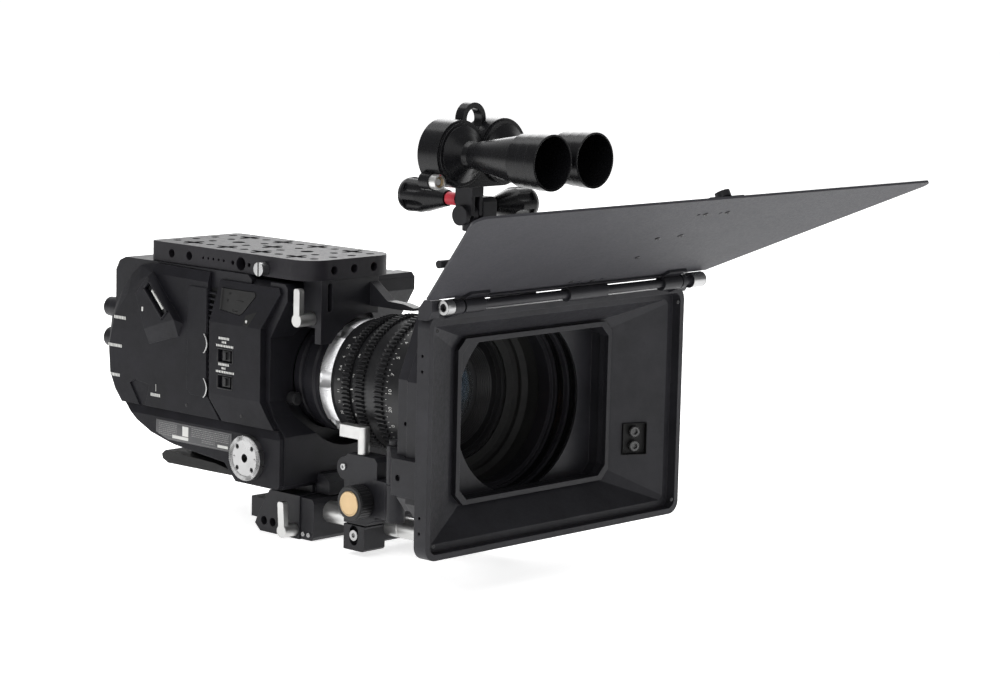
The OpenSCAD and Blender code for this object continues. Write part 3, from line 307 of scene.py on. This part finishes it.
class Piece:
    """Collects shapes, in millimetres and in the row frame, into one mesh."""

    def __init__(self, name):
        self.name = name
        self.bm = bmesh.new()

    def box(self, lo, hi, bevel=0.0):
        """Block between two corners, with its edges rounded by bevel."""
        made = bmesh.ops.create_cube(self.bm, size=1.0)["verts"]
        size = [b - a for a, b in zip(lo, hi)]
        mid = Vector([(a + b) / 2 for a, b in zip(lo, hi)])
        bmesh.ops.transform(self.bm, matrix=Matrix.Translation(mid) @ Matrix.Diagonal((*size, 1)), verts=made)
        if bevel:
            edges = list({e for v in made for e in v.link_edges})
            bmesh.ops.bevel(self.bm, geom=edges, offset=bevel, segments=2, affect="EDGES", profile=0.5)
        return self

    def turned(self, origin, axis, profile, seg=48, closed=True, radius=None):
        """Profile of (radius, distance) points turned about an axis; radius(angle, r, d) may vary it."""
        d = Vector(axis)
        u = Vector((abs(d.z), abs(d.x), abs(d.y)))
        w = d.cross(u)
        rows = []
        for r, t in profile:
            row = []
            for i in range(seg):
                a = 2 * math.pi * i / seg
                q = radius(a, r, t) if radius else r
                out = u * math.cos(a) + w * math.sin(a)
                row.append(self.bm.verts.new(Vector(origin) + d * t + out * q))
            rows.append(row)
        pairs = list(zip(rows, rows[1:])) + ([(rows[-1], rows[0])] if closed else [])
        for a, b in pairs:
            for i in range(seg):
                j = (i + 1) % seg
                self.bm.faces.new((a[i], a[j], b[j], b[i]))
        if not closed:
            self.bm.faces.new(rows[0][::-1])
            self.bm.faces.new(rows[-1])
        return self

    def prism(self, points, axis, lo, hi):
        """Outline of 2-D points pushed from lo to hi along an axis (x: points are y, z; y: x, z; z: x, y)."""
        def at(p, t):
            return {"x": (t, p[0], p[1]), "y": (p[0], t, p[1]), "z": (p[0], p[1], t)}[axis]
        a = [self.bm.verts.new(at(p, lo)) for p in points]
        b = [self.bm.verts.new(at(p, hi)) for p in points]
        n = len(points)
        for i in range(n):
            j = (i + 1) % n
            self.bm.faces.new((a[i], a[j], b[j], b[i]))
        self.bm.faces.new(a[::-1])
        self.bm.faces.new(b)
        return self

    def socket_screw(self, origin, axis, r, h):
        """Cap screw head with a hexagon socket."""
        def hexagon(a, q, t):
            if q > r * 0.6:
                return q
            return q / max(0.5, math.cos((a % (math.pi / 3)) - math.pi / 6)) * 0.87
        profile = [(r, 0), (r, h * 0.8), (r * 0.88, h), (r * 0.5, h), (r * 0.45, h * 0.35), (TIP, h * 0.35)]
        return self.turned(origin, axis, profile, 24, closed=False, radius=hexagon)

    def done(self, body, material, replaces=(), matrix=None, angle=38.0, bevel=0.0):
        """Makes the object in metres, lets it ride on its body and shades edges under angle smooth."""
        bm = self.bm
        if matrix:
            bmesh.ops.transform(bm, matrix=matrix, verts=bm.verts)
        bmesh.ops.scale(bm, vec=(MM, MM, MM), verts=bm.verts)
        bmesh.ops.recalc_face_normals(bm, faces=bm.faces)
        if bevel:
            edges = [e for e in bm.edges
                     if len(e.link_faces) == 2 and e.calc_face_angle() > math.radians(angle)]
            bmesh.ops.bevel(bm, geom=edges, offset=bevel * MM, segments=2, affect="EDGES", profile=0.5,
                            clamp_overlap=True)
        for f in bm.faces:
            f.smooth = True
        for e in bm.edges:
            e.smooth = len(e.link_faces) == 2 and e.calc_face_angle() < math.radians(angle)
        data = bpy.data.meshes.new(self.name)
        bm.to_mesh(data)
        bm.free()
        o = bpy.data.objects.new(self.name, data)
        bpy.context.scene.collection.objects.link(o)
        data.materials.append(material)
        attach(o, body)
        if replaces:
            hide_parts(*replaces)


# ---- near side of the body

p = Piece("panel_label_plate")
p.prism([(34, 56.8), (103, 56.8), (116, 61), (116, 70.4), (34, 70.4)], "x", -66.25, -66.0)
p.done("camera", GREY_LABEL, bevel=0.1)
LABEL_IN = -66.2         # x at which everything printed on the label starts
p = Piece("panel_label_border")
for (y0, z0), (y1, z1) in (((35, 57.6), (35.3, 69.8)), ((114.8, 61.6), (115.1, 69.8)),
                           ((35, 69.5), (115.1, 69.8)), ((35, 57.6), (102.8, 57.9))):
    p.box((-66.32, y0, z0), (LABEL_IN, y1, z1))
# rows of unreadable print, in blocks of (first y, last y, top z, bottom z)
row_pitch, row_half_h, word_gap = 1.35, 0.35, 0.5
for y0, y1, z0, z1 in ((113, 93, 68.3, 59.5), (77, 37, 68.3, 62.6), (66, 52, 61.2, 58.6)):
    z = z0
    while z > z1:
        y = y0
        while y > y1:
            w = random.uniform(0.7, 2.6)
            p.box((-66.31, max(y1, y - w), z - row_half_h), (LABEL_IN, y, z + row_half_h))
            y -= w + word_gap
        z -= row_pitch
p.done("camera", GREY)
p = Piece("panel_label_windows")
for (y0, z0), (y1, z1) in (((80.5, 61.5), (87, 68.6)), ((80.5, 58.6), (98, 61)), ((38, 58.6), (49, 60.6))):
    p.box((-66.34, y0, z0), (LABEL_IN, y1, z1))
p.done("camera", WHITE)

VENT_RIBS, VENT_PITCH, VENT_BOTTOM = 19, 4.05, 94.0
VENT_BEND_Z = 148        # above this the slot's front edge leans forward
p = Piece("vent_ribs")
for i in range(VENT_RIBS):
    z = VENT_BOTTOM + i * VENT_PITCH
    front_y = 57.8 - max(0.0, (z - VENT_BEND_Z) / 30 * 6.5)
    p.box((-65.4, front_y, z), (-62.25, 61.1, z + 1.5), bevel=0.25)
p.done("camera", PANEL)
# painted shade: a near-black sheet behind the ribs stands for the shade inside the vent slot
p = Piece("vent_back_painted_shade")
p.prism([(57.7, 92), (61.15, 92), (61.15, 171), (52.2, 171), (57.7, VENT_BEND_Z)], "x", -62.5, -62.2)
p.done("camera", DEEP)
# two spring clips that bow over the slot's rear edge
p = Piece("vent_springs")
for zc in (131.5, 99.5):
    inner_edge = [(60.6 - 3.4 * (1 - (t / 7.0) ** 2), zc + t) for t in range(-7, 8)]
    p.prism([(y + 2.2, z) for y, z in inner_edge] + [(y + 3.3, z) for y, z in reversed(inner_edge)],
            "x", -67.9, -66.3)
p.done("camera", SILVER, bevel=0.15)

# windows of the input switches, with unreadable marks where the settings are printed
p = Piece("switch_frames")
for zc in SWITCHES_Z:
    for s in (-1, 1):
        z, y = zc + s * 4.9, SWITCHES_Y + s * 7.9
        p.box((-67.85, SWITCHES_Y - 8.2, z - 0.35), (-67.5, SWITCHES_Y + 8.2, z + 0.35), bevel=0.12)
        p.box((-67.85, y - 0.35, zc - 5.2), (-67.5, y + 0.35, zc + 5.2), bevel=0.12)
p.done("camera", PLASTIC)


def print_row(p, x, y0, y1, z, h):
    """A row of small blocks that stands for a printed word, from y0 down to y1."""
    y = y0
    while y - 0.8 > y1:
        w = random.uniform(0.8, 1.5)
        p.box((x - 0.05, max(y1, y - w), z - h / 2), (x + 0.06, y, z + h / 2))
        y -= w + 0.45


p = Piece("panel_marks")
for zc in SWITCHES_Z:
    print_row(p, AUDIO_X, 47.5, 36.5, zc + 12.3, 1.8)
    print_row(p, AUDIO_X, 44.0, 39.5, zc + 9.6, 1.6)
    print_row(p, AUDIO_X, 50.0, 31.0, zc + 7.0, 1.6)
for y0, y1, z in ((164.0, 150.5, 139.6), (170.5, 155.5, 118.6), (168.5, 156.5, 96.9), (122.5, 111.5, 87.4)):
    print_row(p, PANEL_X, y0, y1, z, 2.3)
# two short strokes: above the lowest print, and on the hump beside the socket
p.box((-66.06, 116.6, 90.2), (-65.94, 117.1, 95.4))
p.box((-73.06, 123.4, 148.4), (-72.94, 125.0, 151.6))
p.done("camera", WHITE)

# the door's own strap screws and tab, and the small sunk mark beside it
door = Matrix.Translation(DOOR) @ Matrix.Rotation(LEAN, 4, "Y")
p = Piece("port_door_trim")
for y, z in ((38.5, 4.6), (40.2, -0.6)):
    p.turned((-0.48, y, z), (-1, 0, 0), [(0.95, 0), (0.95, 0.2), (0.5, 0.2), (0.4, 0.05), (TIP, 0.05)], 20,
             closed=False)
p.box((-0.75, 24, -0.3), (-0.45, 31, 0.4), bevel=0.08)
p.done("port_door", DEEP, matrix=door)
p = Piece("panel_pictogram")
p.prism([(20.5, -9.0), (9.0, -5.6), (17.5, -17.0), (22.5, -16.2)], "x", -0.12, 0.05)
p.done("camera", DEEP, matrix=door)
p = Piece("panel_pictogram_mark")
p.turned((-0.1, 19.4, -13.4), (-1, 0, 0), [(1.1, 0), (1.0, 0.1), (TIP, 0.1)], 20, closed=False)
p.done("camera", WHITE, matrix=door)

# socket in the hump: rim, metal tongue, and a near-black piece at its bottom as painted shade
hump = Matrix.Translation((-73, 109.6, 158.1)) @ Matrix.Rotation(math.radians(-45), 4, "X")
p = Piece("socket_rim")
for lo, hi in (((-0.7, -4.7, -14.7), (2.0, -3.4, 14.7)), ((-0.7, 3.4, -14.7), (2.0, 4.7, 14.7)),
               ((-0.7, -4.7, -14.7), (2.0, 4.7, -13.5)), ((-0.7, -4.7, 13.5), (2.0, 4.7, 14.7))):
    p.box(lo, hi, bevel=0.25)
p.done("camera", PANEL, matrix=hump)
p = Piece("socket_body")
p.box((2.2, -2.8, -12.8), (5.2, 2.8, 12.8), bevel=0.4)
p.done("camera", PLASTIC, matrix=hump)
p = Piece("socket_tongue")
p.box((1.2, -0.9, -8.6), (3.4, 0.7, 8.6), bevel=0.15)
p.done("camera", WHITE, matrix=hump)
# painted shade at the bottom of the socket
p = Piece("socket_floor_painted_shade")
p.box((5.1, -3.8, -13.9), (6.3, 3.8, 13.9))
p.done("camera", DEEP, matrix=hump)

p = Piece("body_screws")
for y, z in ((83, 84.5), (24, 84.5)):
    p.socket_screw((-65.9 if y > 50 else -66.5, y, z), (-1, 0, 0), 1.25, 0.3)
for y, z in ((-8, 170), (-8, 60), (-8, 46)):
    p.socket_screw((-61.9, y, z), (-1, 0, 0), 1.25, 0.3)
p.done("camera", PLASTIC)

# ---- rosette: ring of fine teeth and four flush screws
ROSETTE_X = -70.5        # its outer face


def on_rosette(x, r, a):
    return (x, 16 + r * math.cos(a), 56 + r * math.sin(a))


p = Piece("rosette_teeth")
teeth = 72
outer, inner = 15.7, 12.7
rows = []
for i in range(2 * teeth):
    a = math.pi * i / teeth
    crest, root = (-71.3, -71.3) if i % 2 else (ROSETTE_X, -70.55)
    rows.append([p.bm.verts.new(on_rosette(x, r, a))
                 for x, r in ((-70.3, outer), (crest, outer), (root, inner), (-70.3, inner))])
for i in range(2 * teeth):
    a, b = rows[i], rows[(i + 1) % (2 * teeth)]
    for k in range(4):
        p.bm.faces.new((a[k], a[(k + 1) % 4], b[(k + 1) % 4], b[k]))
p.done("camera", SILVER, angle=20)
ROSETTE_BOLTS_R = 10.6
p = Piece("rosette_screws")
for a in (45, 135, 225, 315):
    p.turned(on_rosette(ROSETTE_X, ROSETTE_BOLTS_R, math.radians(a)), (-1, 0, 0),
             [(1.68, -1.2), (1.68, -0.25), (1.35, -0.1), (0.8, -0.1), (0.7, -1.0), (TIP, -1.0)], 24,
             closed=False)
p.done("camera", PLASTIC)
p = Piece("rosette_pins")
for a in (0, 180):
    p.turned(on_rosette(ROSETTE_X, ROSETTE_BOLTS_R, math.radians(a)), (-1, 0, 0),
             [(1.0, -0.3), (1.0, 0.12), (0.7, 0.3)], 20, closed=False)
p.done("camera", SILVER)

# ---- lens

LOCK_NOTCHES = 7
LOCK_PHASE = math.radians(124.6 - 90)
LOCK_R = 42.0            # outer radius of the locking ring
NOTCH_HALF = 5.9         # half the width of a finger notch
NOTCH_OUT = 4.6          # how far outside the ring a notch's arc has its centre
NOTCH_R2 = 56.2          # square of that arc's radius
KNURL_COUNT, KNURL_DEPTH = 210, 0.22


def locking_radius(a, r, t):
    """Lobes with fine knurling, and finger notches between them."""
    if r < 41:
        return r
    step = 2 * math.pi / LOCK_NOTCHES
    off = ((a - LOCK_PHASE) + step / 2) % step - step / 2
    x = abs(off) * r
    if x < NOTCH_HALF:
        return min(r, LOCK_R + NOTCH_OUT - math.sqrt(max(0.0, NOTCH_R2 - x * x)))
    return r - KNURL_DEPTH * (0.5 + 0.5 * math.cos(a * KNURL_COUNT))


p = Piece("locking_ring_knurled")
p.turned((0, 0, AXIS_Z), (0, -1, 0),
         [(36.62, 27.35), (40.2, 27.35), (41.2, 28.2), (42.0, 28.8), (42.0, 39.2), (41.2, 39.9), (40.2, 40.6),
          (36.62, 40.6)],
         seg=1260, radius=locking_radius)
p.done("locking_ring", RING, replaces=["locking_ring"], angle=50)


MARK_T = 0.12            # thickness of the lens marks


def digit(name, text, size, at, normal, upward):
    """Mesh of a plain number standing a little proud of a dial."""
    curve = bpy.data.curves.new(name, "FONT")
    curve.body = text
    curve.size = size
    curve.align_x, curve.align_y = "CENTER", "CENTER"
    curve.extrude = MARK_T / 2
    curve.resolution_u = 3
    temp = bpy.data.objects.new(name + "_tmp", curve)
    bpy.context.scene.collection.objects.link(temp)
    bpy.context.view_layer.update()
    data = bpy.data.meshes.new_from_object(temp.evaluated_get(bpy.context.evaluated_depsgraph_get()))
    bpy.data.objects.remove(temp)
    n = Vector(normal).normalized()
    u = Vector(upward).normalized()
    x = u.cross(n)
    m = Matrix((x, u, n)).transposed().to_4x4()
    data.transform(Matrix.Diagonal((MM, MM, MM, 1)) @ Matrix.Translation(Vector(at)) @ m)
    return data


def dial(name, marks, y, r, size, slope, body, ticks=None):
    """Numbers round a lens ring: marks are (angle, text); slope is how the ring narrows, for the tilt."""
    meshes = []
    for a, text in marks:
        a = math.radians(a)
        out = Vector((math.cos(a), 0, math.sin(a)))
        nrm = (out + Vector((0, slope, 0))).normalized()
        along = Vector((0, 1, 0)) - nrm * nrm.y
        at = Vector((0, y, AXIS_Z)) + out * r
        meshes.append(digit(name, text, size, at, nrm, along.normalized()))
    bm = bmesh.new()
    for d in meshes:
        bm.from_mesh(d)
        bpy.data.meshes.remove(d)
    for a, y0, y1, w in ticks or ():
        a = math.radians(a)
        out = Vector((math.cos(a), 0, math.sin(a)))
        side = Vector((-math.sin(a), 0, math.cos(a)))
        c = bmesh.ops.create_cube(bm, size=1.0)["verts"]
        nrm = (out + Vector((0, slope, 0))).normalized()
        along = (Vector((0, 1, 0)) - nrm * nrm.y).normalized()
        at = (Vector((0, (y0 + y1) / 2, AXIS_Z)) + out * (r + slope * (y - (y0 + y1) / 2))) * MM
        m = Matrix((side * w * MM, along * (y1 - y0) * MM, nrm * MARK_T * MM)).transposed().to_4x4()
        bmesh.ops.transform(bm, matrix=Matrix.Translation(at) @ m, verts=c)
    data = bpy.data.meshes.new(name)
    bm.to_mesh(data)
    bm.free()
    data.materials.append(WHITE)
    o = bpy.data.objects.new(name, data)
    bpy.context.scene.collection.objects.link(o)
    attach(o, body)
    return o


FOCUS_TEXT = ["1", "0", "20", "10", "7", "5", "4", "3", "2", "1.5"]
dial("focus_numbers", [(216 - i * 13.5, s) for i, s in enumerate(FOCUS_TEXT)], -107.6, 51.18, 4.2, -0.057,
     "focus_ring", ticks=[(222 - i * 4.5, -104.6, -103.4, 0.35) for i in range(32)])
IRIS_TEXT = ["22", "16", "11", "8", "5.6", "4", "2.8", "2"]
dial("iris_numbers", [(205 - i * 10.5, s) for i, s in enumerate(IRIS_TEXT)], -49.6, 43.55, 3.0, 0.0, "camera",
     ticks=[(207 - i * 5.25, -54.6, -52.8, 0.35) for i in range(18)])
dial("zoom_numbers", [(150, "30"), (168, "25"), (190, "20"), (204, "18")], -65.6, 45.0, 2.8, -0.12, "camera",
     ticks=[(180, -69.4, -63.2, 0.7)])

# stepped throat and ridged bezel seen through the gate
p = Piece("throat_rings")
for r, y in ((45.2, -120.4), (43.4, -117.4), (41.2, -113.2), (39.4, -110.6)):
    p.turned((0, y, AXIS_Z), (0, 1, 0), [(r, 0), (r + 0.9, 0), (r + 0.9, 0.7), (r, 0.7)], 128)
p.done("camera", LENS)
p = Piece("lens_bezel")
ridge_step = 0.9
ridges = [(36.6 - ridge_step * i, -118.9 + ridge_step * i) for i in range(9)]
outline = [(37.6, -118.2)]
for r, y in ridges:
    outline += [(r + 0.45, y), (r + 0.45, y + 0.45), (r, y + 0.45)]
outline += [(26.0, -110.6), (25.2, -111.4), (23.4, -111.4), (22.8, -110.4), (22.8, -109.0), (37.6, -109.0)]
p.turned((0, 0, AXIS_Z), (0, 1, 0), outline, 128)
p.done("camera", LENS)

# ---- height knob's brass cap, upright's screw
p = Piece("knob_cap")
p.turned((-70.5, -90, 40), (-1, 0, 0),
         [(8.7, 0), (8.7, 0.5), (8.2, 0.9), (7.8, 0.9), (7.6, 0.7), (TIP, 0.7)], 64, closed=False)
p.done("height_knob", BRASS)
p = Piece("upright_screw")
p.socket_screw((-58, -71.2, 61.3), (-1, 0, 0), 2.4, 1.2)
p.done("upright", SILVER)

# ---- matte box
CHEEK = Matrix.Translation((95.5, -199.4, 81)) @ Matrix.Rotation(math.radians(-25.3), 4, "Z")
p = Piece("cheek_screws")
for dz in (-5, 5):
    p.turned((0, 1.0, dz), (0, -1, 0),
             [(3.9, 0), (3.9, 2.2), (3.3, 2.8), (1.9, 2.8), (1.8, 1.0), (TIP, 1.0)], 28, closed=False)
p.done("matte_box", SATIN_BLACK, matrix=CHEEK)
# painted shade: near-black floor and four walls darkening the recess, in the recess's own frame
p = Piece("cheek_recess_painted_shade")
for lo, hi in (((-8.9, 2.2, -10.9), (8.9, 2.55, 10.9)), ((-8.95, -1.6, -10.9), (-8.7, 2.4, 10.9)),
               ((8.7, -1.6, -10.9), (8.95, 2.4, 10.9)), ((-8.9, -1.6, -10.95), (8.9, 2.4, -10.7)),
               ((-8.9, -1.6, 10.7), (8.9, 2.4, 10.95))):
    p.box(lo, hi)
p.done("matte_box", DEEP, matrix=CHEEK)
p = Piece("rim_screws")
for s in (-1, 1):
    for z in (38, 176):
        p.socket_screw((s * 118, -216, z), (0, -1, 0), 1.4, 0.3)
p.done("matte_box", PLASTIC)

# bright ends of the flag's rod
p = Piece("hinge_rod_caps")
p.turned((-116.0, *FLAG_PIVOT), (-1, 0, 0),
         [(4.95, 0), (4.95, 6.1), (4.5, 6.7), (2.7, 6.7), (2.5, 3.6), (TIP, 3.6)], 40, closed=False)
p.turned((118.1, *FLAG_PIVOT), (1, 0, 0), [(5.35, 0), (5.35, 12.3), (4.8, 13.0), (TIP, 13.0)], 40,
         closed=False)
p.done("matte_box", SILVER)

# ---- flag, in the sheet's own plane: x across, y from the hinge edge, z through the sheet
ON_FLAG = (Matrix.Translation((0, *FLAG_PIVOT)) @ Matrix.Rotation(math.pi - FLAG_TILT, 4, "X")
           @ Matrix.Translation((0, FLAG_SETBACK, -FLAG_LIFT)) @ Matrix.Diagonal((1, 1, -1, 1)))
p = Piece("flag_screws")
for x, y in ((7, 117), (29, 117), (2, 78), (23, 80), (18, 44), (-9, 7), (14, 5),
             (-100, 7), (-94, 7), (94, 7), (100, 7)):
    for z, out in ((0, -1), (FLAG_T, 1)):
        p.turned((x, y, z), (0, 0, out), [(1.9, 0), (1.7, 0.5), (0.9, 0.7), (0.8, 0.2), (TIP, 0.2)], 20,
                 closed=False)
p.done("flag", PLASTIC, matrix=ON_FLAG)
p = Piece("flag_hinge_lip")
p.box((-105.5, -1.5, -1.75), (105.5, 1.8, -0.1))
p.done("flag", ANODISED, matrix=ON_FLAG, bevel=0.3)

# ---- rangefinder
p = Piece("rangefinder_screws")
for s in (-1, 1):
    cx = RF_X + s * RF_GAP / 2
    for a in (75, 150, 205, 330) if s < 0 else (30, 105, 210, 335):
        a = math.radians(a)
        at = (cx + RF_SCREWS_R * math.cos(a), -129.5, RF_HORN_Z + RF_SCREWS_R * math.sin(a))
        p.socket_screw(at, (0, -1, 0), 1.3, 0.9)
p.done("rangefinder", SILVER)
p = Piece("horn_grilles")
for s in (-1, 1):
    cx = RF_X + s * RF_GAP / 2
    p.turned((cx, -145, RF_HORN_Z), (0, 1, 0), [(TIP, 0), (6.6, 0), (6.6, 1), (TIP, 1)], 32, closed=False)
p.done("rangefinder", DEEP)
p = Piece("knob_neck_red")
p.turned((8, -111.0, 244), (0, 1, 0),
         [(4.1, 0), (4.5, 0.4), (4.5, 9.3), (4.1, 9.8), (4.0, 9.8), (4.0, 0)], 40)
p.done("rf_knob_left", RED)
p = Piece("connector_dot")
p.turned((-27, -127.05, 263.1), (0, -1, 0), [(0.55, 0), (0.5, 0.12), (TIP, 0.16)], 16, closed=False)
p.done("rangefinder", RED)
p = Piece("connector_insert")
p.turned((-27, -121.1, 258.5), (0, -1, 0), [(3.9, 0), (3.9, 4.6), (2.6, 4.6), (2.5, 3.2), (TIP, 3.2)], 32,
         closed=False)
p.done("rangefinder", BRASS)
